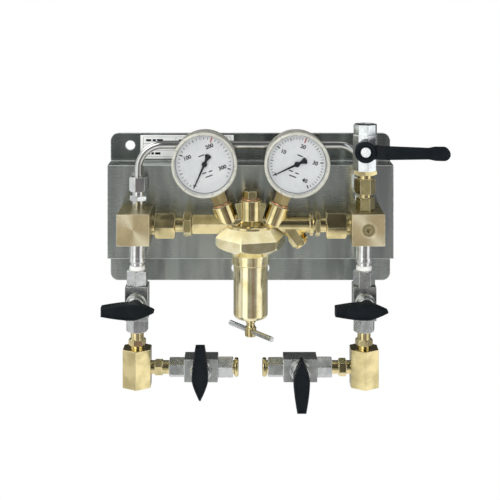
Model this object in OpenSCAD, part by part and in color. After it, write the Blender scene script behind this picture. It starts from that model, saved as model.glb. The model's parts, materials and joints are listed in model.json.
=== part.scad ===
// Wall panel gas pressure reducing station.
// The origin is midway between the two upper wall fixing holes, on the wall plane behind the back plate.
// +X is to the right, -Y points away from the wall to the user, +Z is up. Millimetres.

/* [Back plate] */
// Width of the back plate
plate_w = 285; // [280:1:320]
// Height of the back plate
plate_h = 150; // [148:1:170]
// Thickness of the stainless sheet
plate_t = 2; // [1.5:0.5:2.5]
// Distance of the raised front from the wall
plate_depth = 28; // [26:0.5:28]
// Height of the raised part
raised_h = 93; // [90:1:100]
// Radius of the plate's outer corners
plate_corner_r = 8; // [4:1:12]
// Distance between the two upper fixing holes
upper_hole_span = 245; // [235:1:250]
// Diameter of the fixing holes
fixing_hole_d = 9.5; // [7:0.5:10]
// Distance between the two lower fixing holes
lower_hole_span = 29; // [24:1:40]
// Width of the opening behind the bonnet
opening_w = 58; // [57:0.5:64]

/* [Layout] */
// Distance of the regulator and riser axes from the wall
axis_depth = 50; // [50:0.5:52]
// Height of the regulator's arms below the upper fixing holes
axis_drop = 69.5; // [69:0.5:71]
// Distance of each riser column from the middle
column_x = 110.5; // [110.5:0.5:114]
// Distance of each lower branch valve from the middle
branch_x = 48; // [47.5:0.5:48.5]
// Distance of the crossover tube from the wall
tube_depth = 38.5; // [38.5:0.1:39]
// Distance of the vent valve's axis from the wall
vent_depth = 61; // [61:0.5:62]

/* [Blocks] */
// Width of the square brass blocks
block_w = 31; // [30:0.5:31]
// Height of the square brass blocks
block_h = 30; // [29:0.5:30]
// Depth of the square brass blocks
block_depth = 49; // [48:0.5:50]
// How far each block's middle lies outside its riser port
block_shift = 1.6; // [0:0.1:1.6]

/* [Regulator] */
// Width across flats of the left, hexagonal arm
arm_af = 18; // [17.5:0.5:19]
// Diameter of the right, round arm
arm_d = 16.6; // [16:0.1:18]
// Half length of the regulator body across its arms
arm_reach = 57; // [56.5:0.5:57]
// Width across flats of the bonnet's hexagon
bonnet_af = 61.1; // [60.5:0.1:61.5]
// Radius of the spring housing tube
housing_r = 16.7; // [16.5:0.1:17]
// Pitch of the adjusting screw
screw_pitch = 1.5; // [1:0.25:1.5]
// Length of the T-bar
t_bar_l = 66; // [50:1:66]
// Diameter of the T-bar
t_bar_d = 5; // [4:0.5:5]

/* [Gauges] */
// Outer diameter of the gauge bezels
gauge_d = 63; // [62:0.5:63]
// Distance of each gauge from the middle
gauge_x = 44.4; // [43.9:0.1:44.5]
// Tilt of the gauge stems from the vertical
gauge_tilt = 21; // [20:0.5:22]
// Height of the gauge centres above the arms
gauge_rise = 61.3; // [61:0.1:63]

/* [Ball valves] */
// Width across the square valve bodies
valve_sq = 22; // [22:0.5:23]
// Half length of the square valve bodies
valve_half = 16.3; // [16:0.1:16.5]
// Radius of the balls
ball_r = 7.5; // [7.4:0.05:7.5]
// Overall length of the wing handles
handle_l = 50; // [46:1:52]
// Length of the vent lever from its axis
lever_l = 78.5; // [60:0.5:85]

/* [Crossover tube] */
// Outer diameter of the tube
tube_d = 8; // [6:0.5:8]
// Bend radius of the tube's centre line
bend_r = 23.5; // [20:0.5:24]
// Height of the tube's horizontal run above the arms
tube_rise = 75.7; // [74:0.1:77]

/* [Hidden] */
$fn = 48;

over = 1;            // how far a cutter passes the face it opens
gap = 0.05;          // radial clearance of turning, sliding and screwed fits
bore_r = 3;          // radius of the gas passages
port_r = 6.6;        // radius of the threaded ports
port_deep = 10;      // depth of the threaded ports
union_deep = 7; // depth of the union ports, short of the riser ports
test_deep = 9;       // depth of the test port, short of the vent port
upper_hole_drop = 12.5;
lower_hole_rise = 12.2;
raised_mid = upper_hole_drop - plate_h / 2;
arm_z = -axis_drop;
block_top = block_h / 2;
block_x = column_x + block_shift;

// Regulator heights, from the arms' axis
boss_top = 24;
cap_top = 33;
flange_bottom = -2;
flange_top = 1;
flange_r = 23.6;
bonnet_shoulder = -11.5;
skirt_r = 21.5;
skirt_bottom = -7;
diaphragm_t = 1.3;
pocket_floor = skirt_bottom - diaphragm_t;
plate_disc_t = 2;
button_top = -64;
housing_floor = -84;
housing_bottom = -91;
screw_r = 5;
hub_r = 5.6;
hub_top = -99.7;
hub_bottom = -109;
bar_z = -104;
bar_turn = 52;       // angle of the T-bar's right end towards the user

// Gauge sizes along the stem and from the wall
stem_foot_x = gauge_x - gauge_rise * tan(gauge_tilt);
stem_reach = gauge_rise / cos(gauge_tilt);
gauge_boss_l = 20;
lower_boss_l = 22.4;
gauge_r = gauge_d / 2;
case_rear = 43.5;
case_front = 70.5;
bezel_front = 75;
dial_depth = 66;
pointer_depth = 68;
bourdon_r = 21.5;
bourdon_z = 14;      // bourdon tube in front of the case's rear face

// Unions, distances from the middle
nut_near = 73;
nut_far = 93.3;
neck_r = 7.9;
collar_r = 10.2;

// Crossover fittings, heights from the arms' axis
connector_hex = [20.9, 26.2];
tube_nut = [30, 44.4];
tube_end = 29;

// Vent stand-off and valve, heights from the arms' axis
vent_hex = [[block_top, 29], [32, 47]];
vent_collar = [50.6, 54.8];
vent_hub_z = 75.4;
vent_body_top = 88.9;
vent_top = 99;
vent_af = 22.4;
vent_turn = -5;      // turn of the vent valve and its stand-off about their axis

// Panel ball valves: place, height, turn of the body, turn of the handle, length of the plain end, and turn
// of the end piece's hexagon
riser_valve_z = -75;
branch_z = -139.3;
inlet_riser = [-column_x, riser_valve_z, 0, 0, 12.7, 26];
outlet_riser = [column_x, riser_valve_z, 0, 0, 12.7, 0];
inlet_branch = [-branch_x, branch_z, -90, -90, 15, 12];
outlet_branch = [branch_x, branch_z, -90, 90, 15, 12];
panel_valves = [inlet_riser, outlet_riser, inlet_branch, outlet_branch];
end_piece_l = 14.6;
cavity_r = 8.25;
seat_face = 4.4;
seat_back = 8.6;
stem_r = 3;
gland_top = 21.5;
handle_base = 22;
wing_base = 26;
wing_top = 38;
nipple_r = 6.4;

// Tee blocks, heights from the arms' axis
tee_af = 27;
tee_top = -120;
tee_bottom = -157;

// Riser connectors, heights from the arms' axis
riser_steps = [[-31.8, 7.65], [-36.5, 8.2], [-40, 6.9]];
ring_bottom = riser_valve_z + valve_half + end_piece_l;

// ---------- shared shapes ----------

// Turns the local +z axis to +X.
module along_x() {
    rotate([0, 90, 0]) children();
}

// Turns local +z to the user (-Y) and local +y up (+Z).
module facing_user() {
    rotate([90, 0, 0]) children();
}

// Moves children to the arms' axis.
module at_arms(x = 0) {
    translate([x, -axis_depth, arm_z]) children();
}

// One child on each side, mirrored.
module both_sides() {
    children();
    mirror([1, 0, 0]) children();
}

// Hexagonal bar with turned chamfers at the ends that are asked for.
module hexagon(af, h, low = true, high = true, turn = 0) {
    face_r = af / 2 * 0.97;
    clear_r = af / 2 / cos(30) + 0.5;
    c = (clear_r - face_r) * tan(30);
    intersection() {
        rotate([0, 0, turn]) cylinder(d = af / cos(30), h = h, $fn = 6);
        rotate_extrude() polygon(concat(
            low ? [[0, 0], [face_r, 0], [clear_r, c]] : [[0, 0], [clear_r, 0]],
            high ? [[clear_r, h - c], [face_r, h], [0, h]] : [[clear_r, h], [0, h]]
        ));
    }
}

// Cylinder with a small chamfer at both ends.
module turned(r, h, c = 0.4) {
    rotate_extrude() polygon([[0, 0], [r - c, 0], [r, c], [r, h - c], [r - c, h], [0, h]]);
}

module rounded_rect(w, h, r) {
    square([w - 2 * r, h], center = true);
    square([w, h - 2 * r], center = true);
    for (x = [-1, 1], y = [-1, 1])
        translate([x * (w / 2 - r), y * (h / 2 - r)]) circle(r = r);
}

// Solid round wire wound as a compression spring from z = 0 to z = height, built of short straight rods.
module coil(mean_r, wire_r, height, turns) {
    steps = 14;
    rise = height - 2 * wire_r;
    point = function(i) [
        mean_r * cos(i * 360 / steps),
        mean_r * sin(i * 360 / steps),
        wire_r + rise * i / (steps * turns)
    ];
    for (i = [0 : steps * turns - 1]) {
        a = point(i);
        b = point(i + 1);
        d = b - a;
        translate(a)
            rotate([0, acos(d.z / norm(d)), atan2(d.y, d.x)])
                cylinder(r = wire_r, h = norm(d), $fn = 8);
    }
}

// ---------- back plate ----------

module back_plate() {
    color("lightslategray")
    difference() {
        intersection() {
            rotate([90, 0, 90]) linear_extrude(plate_w, center = true) plate_section();
            translate([0, 0, raised_mid]) facing_user()
                linear_extrude(plate_depth + over) rounded_rect(plate_w, plate_h, plate_corner_r);
        }
        for (x = [-1, 1]) {
            translate([x * upper_hole_span / 2, 0, 0]) fixing_hole();
            translate([x * lower_hole_span / 2, 0, upper_hole_drop - plate_h + lower_hole_rise]) fixing_hole();
        }
        for_each_block_screw() translate([0, 0, plate_depth - plate_t - over])
            cylinder(r = 3.2, h = plate_t + 2 * over);
        translate([0, 0, arm_z - 13]) facing_user() translate([0, 0, plate_depth - plate_t - over])
            linear_extrude(plate_t + 2 * over) rounded_rect(opening_w, 31, 8);
    }
}

// Hat section of the sheet, drawn with the wall at 0 and the user towards -x.
module plate_section() {
    top = upper_hole_drop;
    bottom = upper_hole_drop - plate_h;
    up = raised_mid + raised_h / 2;
    down = raised_mid - raised_h / 2;
    polygon([
        [0, top], [-plate_t, top], [-plate_t, up], [-plate_depth, up],
        [-plate_depth, down], [-plate_t, down], [-plate_t, bottom], [0, bottom],
        [0, down + plate_t], [-plate_depth + plate_t, down + plate_t],
        [-plate_depth + plate_t, up - plate_t], [0, up - plate_t]
    ]);
}

module fixing_hole() {
    facing_user() translate([0, 0, -over]) cylinder(d = fixing_hole_d, h = plate_t + 2 * over);
}

module data_label() {
    color("white")
    translate([-64.5, -plate_t, -1.5]) facing_user() linear_extrude(0.5) square([95, 24], center = true);
}

// ---------- brass blocks ----------

module for_each_block_screw() {
    for (side = [-1, 1], x = [-9.5, 9.5])
        translate([side * block_x + x, 0, arm_z]) facing_user() children();
}

module block_screws() {
    color("silver")
    for_each_block_screw() {
        translate([0, 0, plate_depth - plate_t - 6]) difference() {
            turned(5, 6);
            translate([0, 0, -over]) cylinder(d = 5.8, h = 3.5 + over, $fn = 6);
        }
        translate([0, 0, plate_depth - plate_t]) cylinder(r = 3, h = 13);
    }
}

// A block with the ports that both share, x beside its middle; children are cut out as well.
module block_with_ports(x) {
    difference() {
        translate([-block_w / 2, -plate_depth - block_depth, arm_z - block_h / 2])
            cube([block_w, block_depth, block_h]);
        for (side = [-1, 1]) translate([side * 9.5, -plate_depth + over, arm_z]) facing_user()
            cylinder(r = 3 + gap, h = 13 + over);
        translate([x, -axis_depth, arm_z - block_top - over]) cylinder(r = port_r + gap, h = port_deep + over);
        translate([x, -axis_depth, arm_z - block_top]) cylinder(r = bore_r, h = block_top);
        translate([x, -tube_depth, arm_z + block_top - 9]) cylinder(r = 5 + gap, h = 9 + over);
        translate([x, -tube_depth, arm_z]) cylinder(r = bore_r, h = block_top);
        translate([x, -tube_depth, arm_z]) facing_user() cylinder(r = bore_r, h = axis_depth - tube_depth);
        children();
    }
}

// The port that faces the regulator, on the +X side of a block at the origin.
module union_port() {
    translate([block_w / 2 - union_deep, -axis_depth, arm_z]) along_x()
        cylinder(r = 8 + gap, h = union_deep + over);
    translate([0, -axis_depth, arm_z]) along_x() cylinder(r = bore_r, h = block_w / 2);
}

module inlet_block() {
    color("darkkhaki")
    translate([-block_x, 0, 0]) block_with_ports(block_shift) union_port();
}

module outlet_block() {
    front = plate_depth + block_depth;
    color("darkkhaki")
    translate([block_x, 0, 0]) block_with_ports(-block_shift) {
        mirror([1, 0, 0]) union_port();
        translate([-block_shift, -vent_depth, arm_z]) cylinder(r = bore_r, h = block_top);
        translate([-block_shift, -vent_depth, arm_z + block_top - port_deep])
            cylinder(r = port_r + gap, h = port_deep + over);
        translate([0, -axis_depth, arm_z]) facing_user() cylinder(r = bore_r, h = front - axis_depth);
        translate([0, -front + test_deep, arm_z]) facing_user()
            cylinder(r = port_r + gap, h = test_deep + over);
        translate([0, -front + 0.8, arm_z]) facing_user() cylinder(r = 7.8, h = 0.8 + over);
    }
}

module test_port_plug() {
    front = plate_depth + block_depth;
    color("goldenrod")
    translate([block_x, -front + test_deep, arm_z]) facing_user() translate([0, 0, 0.1]) difference() {
        turned(port_r, 8.4);
        translate([0, 0, 3.5]) cylinder(d = 5 / cos(30), h = 5 + over, $fn = 6);
    }
}

// ---------- unions between the blocks and the regulator ----------

module union_nipples() {
    color("darkkhaki")
    both_sides() at_arms() along_x() difference() {
        union() {
            translate([0, 0, nut_near + 9]) turned(collar_r, block_x - block_w / 2 - nut_near - 9);
            translate([0, 0, block_x - block_w / 2 - over]) cylinder(r = 8, h = union_deep + over - 0.2);
        }
        cylinder(r = bore_r, h = block_x);
    }
}

module union_nuts() {
    shoulder = 5;
    color("khaki")
    both_sides() at_arms() along_x() translate([0, 0, nut_near]) difference() {
        hexagon(24.5, nut_far - nut_near, turn = 33);
        translate([0, 0, -over]) cylinder(r = neck_r + gap, h = shoulder + 2 * over);
        translate([0, 0, shoulder]) cylinder(r = collar_r + gap, h = nut_far - nut_near - shoulder + over);
    }
}

// A tailpiece: screwed spigot, thin hexagon from near to far, neck and collar inside the union nut.
module tailpiece(near, far) {
    difference() {
        union() {
            translate([0, 0, arm_reach - 10]) cylinder(r = 6, h = near - arm_reach + 10);
            translate([0, 0, near]) hexagon(21, far - near);
            translate([0, 0, far]) cylinder(r = neck_r, h = nut_near + 5 - far);
            translate([0, 0, nut_near + 5 + gap]) cylinder(r = collar_r - 0.2, h = 3.8);
            translate([0, 0, nut_near + 5]) cylinder(r = neck_r, h = 3);
        }
        translate([0, 0, arm_reach - 10 - over]) cylinder(r = 3.5, h = 40);
    }
}

module union_tailpieces() {
    color("goldenrod") {
        at_arms() rotate([0, -90, 0]) tailpiece(57.3, 65.4);
        at_arms() along_x() tailpiece(62.7, 67.6);
    }
}

module inlet_filter() {
    color("peru")
    at_arms() rotate([0, -90, 0]) translate([0, 0, 54]) difference() {
        cylinder(r = 3.5 - gap, h = 16);
        translate([0, 0, 2]) cylinder(r = 2, h = 16);
    }
}

// ---------- regulator body ----------

// Local frame of a gauge stem: z runs from the arms' axis up to the gauge. side is -1 or 1.
module gauge_stem(side) {
    at_arms(side * stem_foot_x) rotate([0, side * gauge_tilt, 0]) children();
}

// Local frame of the lower right boss: z runs down and outwards from the arms' axis.
module lower_boss() {
    at_arms(35.4) rotate([0, 143, 0]) children();
}

module regulator_body() {
    color("goldenrod")
    difference() {
        union() {
            difference() {
                body_forging();
                at_arms() bonnet_sweep();
            }
            at_arms() body_flange();
        }
        at_arms() translate([0, 0, 3]) cylinder(r = 6, h = boss_top);
        at_arms() translate([0, 0, -5]) cylinder(r = 3 + gap, h = 10);
        at_arms() translate([0, 0, skirt_bottom - over]) cylinder(r = 17, h = 3.3 + over);
        both_sides() at_arms() along_x() {
            translate([0, 0, arm_reach - 10 - gap]) cylinder(r = 6 + gap, h = 20);
            translate([0, 0, 10]) cylinder(r = bore_r, h = arm_reach - 10);
        }
        at_arms(-11) rotate([0, 48, 0]) cylinder(r = 1.8, h = 12);
        at_arms(12) translate([0, 0, -5]) cylinder(r = 2, h = 5);
        for (side = [-1, 1]) gauge_stem(side) {
            cylinder(r = 1.5, h = gauge_boss_l);
            translate([0, 0, 9]) cylinder(r = port_r + gap, h = gauge_boss_l);
        }
        lower_boss() {
            cylinder(r = 1.5, h = lower_boss_l);
            translate([0, 0, lower_boss_l - 7]) cylinder(r = 4 + gap, h = 7 + over);
        }
    }
}

// Arms, central boss, gauge bosses, lower boss and ribs of the hot pressed body.
module body_forging() {
    at_arms() rotate([0, -90, 0]) hexagon(arm_af, arm_reach, low = false, turn = 40);
    at_arms() along_x() cylinder(d = arm_d, h = arm_reach + 1);
    at_arms() along_x() translate([0, 0, arm_reach]) turned(11.3, 4, 0.8);
    at_arms() translate([0, 0, flange_bottom]) turned(11.2, boss_top - flange_bottom, 0.6);
    for (side = [-1, 1]) gauge_stem(side) turned(10.2, gauge_boss_l, 0.6);
    lower_boss() hexagon(15, lower_boss_l, low = false);
    at_arms() body_webs();
}

// Room in which the bonnet's hexagon turns when it is screwed on.
module bonnet_sweep() {
    rotate_extrude() polygon([
        [0, -40], [37, -40], [37, bonnet_shoulder - 0.6], [36, bonnet_shoulder], [27, flange_bottom + 0.4],
        [27, flange_bottom + 0.1], [0, flange_bottom + 0.1]
    ]);
}

// Flange on the bonnet, its conical shoulder and the skirt that clamps the diaphragm.
module body_flange() {
    rotate_extrude() polygon([
        [0, skirt_bottom], [skirt_r, skirt_bottom], [skirt_r, flange_bottom], [flange_r, flange_bottom],
        [flange_r, flange_top - 0.8], [flange_r - 0.8, flange_top], [18, flange_top], [11, flange_top + 4],
        [0, flange_top + 4]
    ]);
}

// Slanted ribs beside the central boss and low webs that join the gauge bosses.
module body_webs() {
    for (side = [-1, 1]) {
        facing_user() translate([0, 0, -4]) linear_extrude(11)
            polygon([[0, 1], [side * 9.6, 1], [side * 15.2, 20.5], [side * 13.6, 21.5], [0, 21.5]]);
        facing_user() linear_extrude(14, center = true)
            polygon([[0, 1], [side * 24, 1], [side * 26, 9], [side * 17, 6], [0, 6]]);
    }
}

module blanking_plug() {
    color("goldenrod")
    lower_boss() difference() {
        union() {
            translate([0, 0, lower_boss_l - 6.8]) cylinder(r = 4, h = 7.8);
            translate([0, 0, lower_boss_l]) turned(7.4, 2.2, 0.7);
        }
        translate([0, 0, lower_boss_l - 1]) cylinder(d = 5 / cos(30), h = 5, $fn = 6);
    }
}

// ---------- valve seat, poppet and cap ----------

module valve_nozzle() {
    color("khaki")
    at_arms() translate([0, 0, 3]) difference() {
        union() {
            translate([0, 0, -6]) cylinder(r = 3, h = 6);
            cylinder(r = 5.9, h = 2);
            translate([0, 0, 2]) cylinder(r = 2.2, h = 0.8);
        }
        translate([0, 0, -6 - over]) cylinder(r = 1.3, h = 12);
    }
}

poppet_z = 5.8;
poppet_h = 2.7;
stud_top = -5.5;
guide_h = 10;
cap_spigot = 8;

module valve_poppet() {
    color("silver")
    at_arms() {
        translate([0, 0, poppet_z]) turned(3.5, poppet_h);
        translate([0, 0, stud_top]) cylinder(r = 0.8, h = poppet_z - stud_top);
        translate([0, 0, poppet_z + poppet_h]) cylinder(r = 1.5, h = guide_h);
    }
}

module closing_spring() {
    color("gray")
    at_arms() translate([0, 0, poppet_z + poppet_h])
        coil(2.7, 0.4, boss_top - cap_spigot - poppet_z - poppet_h, 5);
}

module valve_cap() {
    color("goldenrod")
    at_arms() translate([0, 0, boss_top]) difference() {
        union() {
            translate([0, 0, -cap_spigot]) cylinder(r = 6 - gap, h = cap_spigot + 1.5);
            translate([0, 0, 1.5]) hexagon(14, cap_top - boss_top - 1.5, turn = 15);
        }
        translate([0, 0, -cap_spigot - over]) cylinder(r = 1.5 + gap, h = 8 + over);
    }
}

module sealing_washers() {
    color("chocolate") {
        at_arms() translate([0, 0, boss_top]) difference() {
            turned(9, 1.5);
            translate([0, 0, -over]) cylinder(r = 6, h = 1.5 + 2 * over);
        }
        for (side = [-1, 1]) gauge_stem(side) translate([0, 0, gauge_boss_l]) difference() {
            turned(9, 1.6);
            translate([0, 0, -over]) cylinder(r = port_r, h = 1.6 + 2 * over);
        }
    }
}

// ---------- diaphragm, springs and bonnet ----------

module diaphragm() {
    color("dimgray")
    at_arms() translate([0, 0, pocket_floor]) difference() {
        cylinder(r = skirt_r, h = diaphragm_t);
        translate([0, 0, -over]) cylinder(r = 2.5 + gap, h = diaphragm_t + 2 * over);
    }
}

module diaphragm_plate() {
    color("silver")
    at_arms() {
        translate([0, 0, pocket_floor - plate_disc_t]) cylinder(r = 16, h = plate_disc_t);
        translate([0, 0, pocket_floor - plate_disc_t - 3]) cylinder(r = 8.4, h = 3);
        translate([0, 0, pocket_floor]) cylinder(r = 2.5, h = stud_top - pocket_floor);
        translate([0, 0, skirt_bottom]) difference() {
            cylinder(r = 6, h = 1.2);
            translate([0, 0, -over]) cylinder(r = 2.5 + gap, h = 4);
        }
    }
}

spring_top = pocket_floor - plate_disc_t;
neck = [-28.8, -38.2];
neck_r_out = 18.3;

module range_spring() {
    color("gray")
    at_arms() translate([0, 0, button_top]) coil(10.8, 1.5, spring_top - button_top, 7);
}

module spring_button() {
    color("khaki")
    at_arms() translate([0, 0, button_top - 4]) difference() {
        union() {
            turned(13.42, 4);
            translate([0, 0, 4]) cylinder(r = 8.4, h = 3);
        }
        translate([0, 0, -over]) cylinder(r = 3 + gap, h = 2 + over);
    }
}

// Hexagon with flat chamfers above and a turned, sloping underside.
module bonnet_hexagon() {
    half = bonnet_af / 2;
    top_half = 22.9;
    full_r = half / cos(30) - 0.4;
    intersection() {
        intersection_for(a = [0, 60, 120]) rotate([0, 0, a - 16]) rotate([90, 0, 0])
            linear_extrude(2 * full_r, center = true) polygon([
                [-top_half, flange_bottom], [top_half, flange_bottom], [half, bonnet_shoulder],
                [half, neck[1]], [-half, neck[1]], [-half, bonnet_shoulder]
            ]);
        rotate_extrude() polygon([
            [0, neck[0] - 1], [neck_r_out - 1.3, neck[0] - 1], [24, -25.6], [half, -21.8], [34, -19.6],
            [full_r, -18], [full_r, flange_bottom], [0, flange_bottom]
        ]);
    }
}

module bonnet() {
    corner_r = 4.5;
    color("khaki")
    at_arms() difference() {
        union() {
            bonnet_hexagon();
            rotate_extrude() polygon(concat(
                [[0, neck[0] + over], [neck_r_out + 0.5, neck[0] + over], [neck_r_out - 0.2, neck[1] + 0.6],
                    [neck_r_out - 0.8, neck[1]], [housing_r, neck[1]]],
                [for (a = [0 : 15 : 90]) [
                    housing_r - corner_r + corner_r * cos(a),
                    housing_bottom + corner_r - corner_r * sin(a)
                ]],
                [[0, housing_bottom]]
            ));
        }
        translate([0, 0, pocket_floor]) cylinder(r = skirt_r + gap, h = 20);
        translate([0, 0, pocket_floor - 4.5]) cylinder(r = 18, h = 20);
        translate([0, 0, housing_floor]) cylinder(r = 13.5, h = 80);
        translate([0, 0, housing_bottom - over]) cylinder(r = screw_r + gap, h = 10);
    }
}

module adjusting_screw() {
    tip = button_top - 4;
    color("khaki")
    at_arms() difference() {
        rotate_extrude() polygon([
            [0, hub_bottom], [hub_r - 0.6, hub_bottom], [hub_r, hub_bottom + 0.6], [hub_r, hub_top - 0.8],
            [hub_r - 1, hub_top], [4.1, hub_top + 1.5], [4.1, hub_top + 3.5], [screw_r, hub_top + 4.5],
            [screw_r, tip], [3, tip], [3, tip + 1.9], [0, tip + 1.9]
        ]);
        t_bar_place() cylinder(r = t_bar_d / 2 + gap, h = 4 * hub_r, center = true);
    }
}

// Local frame of the T-bar: z runs along it to its right end.
module t_bar_place() {
    translate([0, 0, bar_z]) rotate([0, 0, -bar_turn]) along_x() children();
}

module t_bar() {
    color("lightgray")
    at_arms() t_bar_place() translate([0, 0, -t_bar_l / 2]) turned(t_bar_d / 2, t_bar_l, 0.5);
}

// ---------- gauges ----------

// Local frame of a gauge: z points to the user from the wall plane, on the gauge's centre line.
module gauge_face(side) {
    translate([side * gauge_x, 0, arm_z + gauge_rise]) facing_user() children();
}

module gauge_sockets() {
    rim = stem_reach - gauge_r;
    color("peru")
    for (side = [-1, 1]) gauge_stem(side) difference() {
        union() {
            translate([0, 0, 10]) cylinder(r = port_r - 0.1, h = gauge_boss_l + 1.6 - 10);
            translate([0, 0, gauge_boss_l + 1.6]) hexagon(14, rim - gauge_boss_l - 2, high = false, turn = 30);
            translate([0, 0, gauge_boss_l + 1.6]) cylinder(r = 5.2, h = rim + 13 - gauge_boss_l - 1.6);
            translate([0, 0, stem_reach - bourdon_r]) facing_user()
                cylinder(r = 3, h = case_rear + bourdon_z - axis_depth - gap);
        }
        translate([0, 0, 10 - over]) cylinder(r = 1.5, h = stem_reach - bourdon_r - 9);
        translate([0, 0, stem_reach - bourdon_r]) facing_user() cylinder(r = 1.5, h = 10);
    }
}

module gauge_cases() {
    color("beige")
    for (side = [-1, 1]) difference() {
        gauge_face(side) translate([0, 0, case_rear]) difference() {
            turned(gauge_r - 0.8, case_front - case_rear, 1.2);
            translate([0, 0, 1]) cylinder(r = gauge_r - 2, h = case_front);
        }
        gauge_stem(side) translate([0, 0, stem_reach - gauge_r - 5]) cylinder(r = 5.2 + gap, h = 12);
    }
}

module gauge_movements() {
    color("khaki")
    for (side = [-1, 1]) gauge_face(side) difference() {
        union() {
            translate([0, 0, case_rear + 13]) cylinder(r = 11, h = 2);
            translate([0, 0, case_rear + 13]) cylinder(r = 2.5, h = 8);
            for (a = [0, 120, 240]) rotate([0, 0, a + 90])
                translate([8.5, 0, case_rear + 1]) cylinder(r = 1.2, h = 12.5);
        }
        translate([0, 0, case_rear]) cylinder(r = 1 + gap, h = 30);
    }
}

module bourdon_tubes() {
    color("peru")
    for (side = [-1, 1]) gauge_face(side) translate([0, 0, case_rear + bourdon_z])
        rotate([0, 0, -96 - side * gauge_tilt]) rotate_extrude(angle = 250) difference() {
            translate([bourdon_r - 1.5, 0]) square([3, 6]);
            translate([bourdon_r - 1, 0.5]) square([2, 5]);
        }
}

module gauge_dials() {
    color("white")
    for (side = [-1, 1]) gauge_face(side) translate([0, 0, dial_depth]) difference() {
        cylinder(r = gauge_r - 2.1, h = 0.6);
        translate([0, 0, -over]) cylinder(r = 2, h = 3);
    }
}

// A pointer with its spindle; zero is the angle of the scale's zero mark from straight up, clockwise.
module gauge_pointer(side, zero) {
    color("black")
    gauge_face(side) rotate([0, 0, -zero]) {
        translate([0, 0, case_rear + 12]) cylinder(r = 1, h = pointer_depth - case_rear - 12);
        translate([0, 0, pointer_depth]) linear_extrude(0.8) {
            circle(r = 2.6);
            polygon([[-1, 0], [-0.3, 21], [0.3, 21], [1, 0], [1.8, -9], [-1.8, -9]]);
        }
    }
}

module inlet_gauge_pointer() {
    gauge_pointer(-1, 204);
}

module outlet_gauge_pointer() {
    gauge_pointer(1, 245);
}

module gauge_windows() {
    color("lightcyan")
    for (side = [-1, 1]) gauge_face(side) translate([0, 0, case_front + gap]) cylinder(r = gauge_r - 2, h = 1.6);
}

module gauge_bezels() {
    color("beige")
    for (side = [-1, 1]) gauge_face(side) rotate_extrude() polygon([
        [gauge_r - 1.9, case_front + gap], [gauge_r - 0.8, case_front + gap], [gauge_r - 0.75, case_front - 4],
        [gauge_r, case_front - 4], [gauge_r, bezel_front - 1.2], [gauge_r - 1.2, bezel_front],
        [gauge_r - 2.4, bezel_front], [gauge_r - 3.4, case_front + 1.8], [gauge_r - 1.9, case_front + 1.8]
    ]);
}

// ---------- crossover tube and its fittings ----------

module tube_section() {
    difference() {
        circle(d = tube_d);
        circle(d = tube_d - 2);
    }
}

module crossover_tube() {
    straight_top = tube_rise - bend_r;
    color("silver")
    translate([0, -tube_depth, arm_z]) {
        both_sides() {
            translate([column_x, 0, tube_end]) linear_extrude(straight_top - tube_end) tube_section();
            translate([column_x - bend_r, 0, straight_top]) rotate([90, 0, 0])
                rotate_extrude(angle = 90) translate([bend_r, 0]) tube_section();
        }
        translate([0, 0, tube_rise]) along_x()
            linear_extrude(2 * (column_x - bend_r), center = true) tube_section();
    }
}

// Local frame of a crossover fitting on top of a block.
module at_tube_ends() {
    for (side = [-1, 1]) translate([side * column_x, -tube_depth, arm_z]) children();
}

module tube_nuts() {
    color("silver")
    at_tube_ends() translate([0, 0, tube_nut[0]]) difference() {
        hexagon(16, tube_nut[1] - tube_nut[0], turn = 15);
        translate([0, 0, -over]) cylinder(r = 6 + gap, h = 9 + over);
        cylinder(r = tube_d / 2 + gap, h = 20);
    }
}

module tube_connectors() {
    color("silver")
    at_tube_ends() difference() {
        union() {
            translate([0, 0, block_top - 8.8]) cylinder(r = 5, h = 10);
            translate([0, 0, block_top]) cylinder(r = 6.3, h = connector_hex[0] - block_top + over);
            translate([0, 0, connector_hex[0]]) hexagon(16, connector_hex[1] - connector_hex[0], turn = 30);
            translate([0, 0, connector_hex[1] - over]) cylinder(r = 6, h = tube_nut[0] + 8.8 - connector_hex[1]);
        }
        translate([0, 0, block_top - 10]) cylinder(r = 2.5, h = 40);
        translate([0, 0, tube_end - gap]) cylinder(r = tube_d / 2 + gap, h = 20);
    }
}

// ---------- vent valve ----------

module at_vent() {
    translate([column_x, -vent_depth, arm_z]) rotate([0, 0, vent_turn]) children();
}

module vent_adaptors() {
    link = [26, 40];
    color("darkkhaki")
    at_vent() {
        difference() {
            union() {
                translate([0, 0, block_top - port_deep + 0.2]) cylinder(r = port_r, h = port_deep);
                translate([0, 0, vent_hex[0][0]]) hexagon(15.5, vent_hex[0][1] - vent_hex[0][0], low = false);
                translate([0, 0, vent_hex[0][1]]) cylinder(r = 6.2, h = vent_hex[1][0] - vent_hex[0][1]);
                translate([0, 0, link[0]]) cylinder(r = 5, h = link[1] - link[0]);
            }
            cylinder(r = bore_r, h = 60);
        }
        difference() {
            union() {
                translate([0, 0, vent_hex[1][0]]) hexagon(17, vent_hex[1][1] - vent_hex[1][0]);
                translate([0, 0, vent_hex[1][1]]) cylinder(r = 7.2, h = vent_collar[0] - vent_hex[1][1]);
                translate([0, 0, vent_collar[0]])
                    hexagon(22, vent_collar[1] - vent_collar[0], high = false, turn = 30);
                translate([0, 0, vent_collar[1]]) cylinder(r = port_r, h = 7.8);
            }
            cylinder(r = bore_r, h = 80);
            translate([0, 0, vent_hex[1][0] - over]) cylinder(r = 5 + gap, h = link[1] - vent_hex[1][0] + over);
        }
    }
}

// Eight sided bar that stands on a corner towards the user.
module octagon(af, h) {
    cylinder(d = af / cos(22.5), h = h, $fn = 8);
}

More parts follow.
